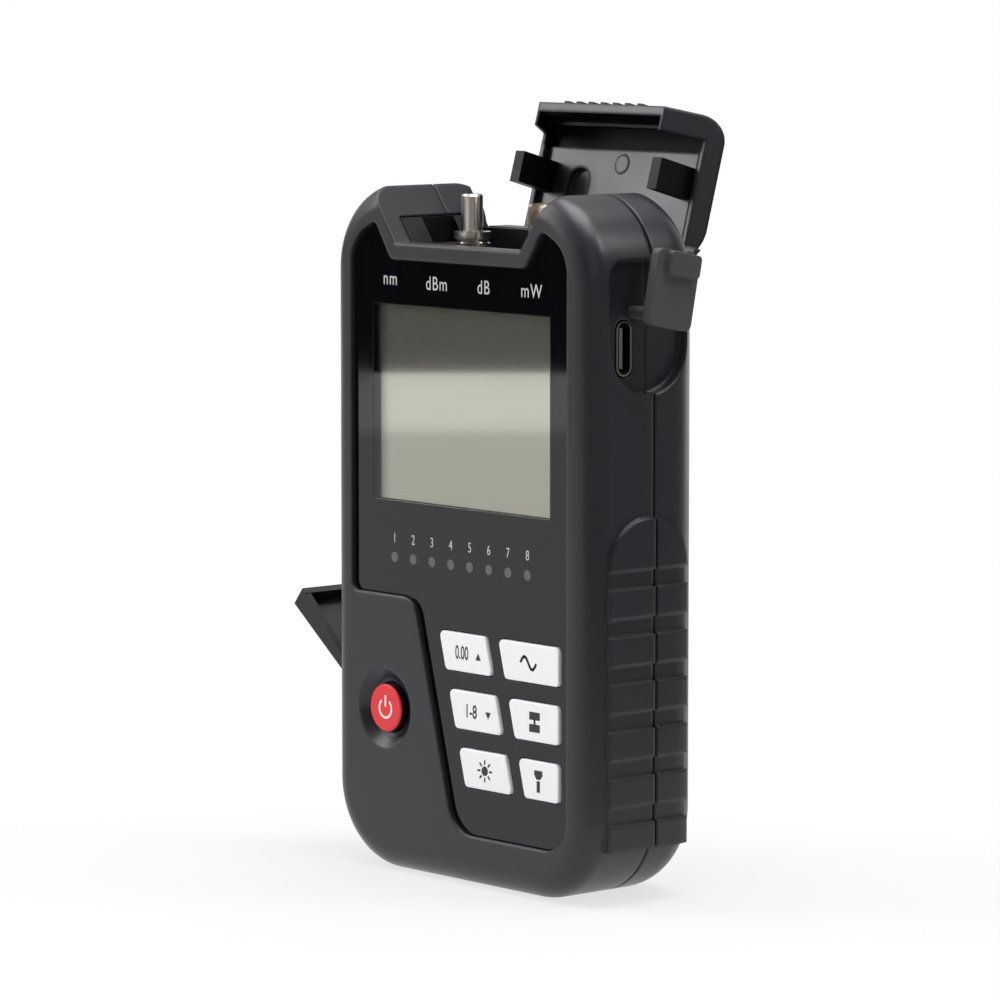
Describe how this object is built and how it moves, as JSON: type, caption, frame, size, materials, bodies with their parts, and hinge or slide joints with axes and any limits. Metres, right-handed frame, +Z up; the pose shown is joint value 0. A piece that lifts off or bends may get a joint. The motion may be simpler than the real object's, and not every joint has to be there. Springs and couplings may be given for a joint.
{
  "type": "optical power meter",
  "caption": "Handheld optical power meter with a glossy front panel, display, keys, power button, flip-up port cover, ribbed grips and side covers.",
  "frame": {"origin": "bottom centre of the housing, on the face it stands on", "axes": "+X to the right seen from the front, +Y to the back, +Z up"},
  "size_m": [0.0871, 0.0399, 0.1282],
  "materials": {
    "shell_plastic": "fine satin texture, dark grey",
    "panel_gloss": "polished, black printed behind",
    "display_face": "pale grey-green liquid crystal",
    "light_lens": "translucent",
    "mat_rubber": "matt silicone",
    "board_green": "solder mask",
    "battery_foil": "satin foil pouch",
    "socket_plastic": "moulded",
    "insert_plastic": "moulded black",
    "port_nickel": "nickel plated, turned",
    "module_brass": "turned",
    "module_steel": "turned can",
    "pin_steel": "drawn",
    "usb_steel": "drawn shell",
    "cover_rubber": "matt",
    "power_red": "satin",
    "key_white": "satin"
  },
  "bodies": {
    "housing": {"front_shell": "shell_plastic", "rear_shell": "shell_plastic", "front_panel": "panel_gloss", "display_module": "display_face", "indicator_lights": "light_lens", "keypad_mat": "mat_rubber", "main_board": "board_green", "battery": "battery_foil", "cable_socket": "socket_plastic", "port_bulkhead": "insert_plastic", "fault_locator_port": "port_nickel", "power_meter_port": "port_nickel", "laser_module": "module_brass", "photodiode_module": "module_steel", "cover_hinge_pin": "pin_steel", "usb_socket": "usb_steel", "cable_cover_pin": "pin_steel", "housing_screws": "pin_steel"},
    "top_cover_body": {"top_cover": "shell_plastic", "cover_latches": "insert_plastic"},
    "usb_cover_body": {"usb_cover": "cover_rubber"},
    "cable_cover_body": {"cable_socket_cover": "shell_plastic"},
    "power_button_body": {"power_button": "power_red"},
    "key_reference_body": {"key_reference": "key_white"},
    "key_wavelength_body": {"key_wavelength": "key_white"},
    "key_cable_test_body": {"key_cable_test": "key_white"},
    "key_mode_body": {"key_mode": "key_white"},
    "key_backlight_body": {"key_backlight": "key_white"},
    "key_torch_body": {"key_torch": "key_white"}
  },
  "joints": [
    {"name": "top_cover_hinge", "type": "hinge", "parent": "housing", "child": "top_cover_body", "pos_m": [0, 0.0114, 0.10465], "axis": [1, 0, 0], "range_deg": [0, 105.6]},
    {"name": "usb_cover_swing", "type": "hinge", "parent": "housing", "child": "usb_cover_body", "pos_m": [0.0325, -0.002, 0.0958], "axis": [1, 0, 0], "range_deg": [-168.7, 0]},
    {"name": "cable_cover_hinge", "type": "hinge", "parent": "housing", "child": "cable_cover_body", "pos_m": [-0.0313, 0, 0.0296], "axis": [0, 1, 0], "range_deg": [-38, 52]},
    {"name": "power_button_press", "type": "slide", "parent": "housing", "child": "power_button_body", "axis": [0, 1, 0], "range_m": [0, 0.0005], "stiffness_N_per_m": 1500, "springref_m": -0.0005},
    {"name": "key_reference_press", "type": "slide", "parent": "housing", "child": "key_reference_body", "axis": [0, 1, 0], "range_m": [0, 0.0005], "stiffness_N_per_m": 1200, "springref_m": -0.0005},
    {"name": "key_wavelength_press", "type": "slide", "parent": "housing", "child": "key_wavelength_body", "axis": [0, 1, 0], "range_m": [0, 0.0005], "stiffness_N_per_m": 1200, "springref_m": -0.0005},
    {"name": "key_cable_test_press", "type": "slide", "parent": "housing", "child": "key_cable_test_body", "axis": [0, 1, 0], "range_m": [0, 0.0005], "stiffness_N_per_m": 1200, "springref_m": -0.0005},
    {"name": "key_mode_press", "type": "slide", "parent": "housing", "child": "key_mode_body", "axis": [0, 1, 0], "range_m": [0, 0.0005], "stiffness_N_per_m": 1200, "springref_m": -0.0005},
    {"name": "key_backlight_press", "type": "slide", "parent": "housing", "child": "key_backlight_body", "axis": [0, 1, 0], "range_m": [0, 0.0005], "stiffness_N_per_m": 1200, "springref_m": -0.0005},
    {"name": "key_torch_press", "type": "slide", "parent": "housing", "child": "key_torch_body", "axis": [0, 1, 0], "range_m": [0, 0.0005], "stiffness_N_per_m": 1200, "springref_m": -0.0005}
  ]
}
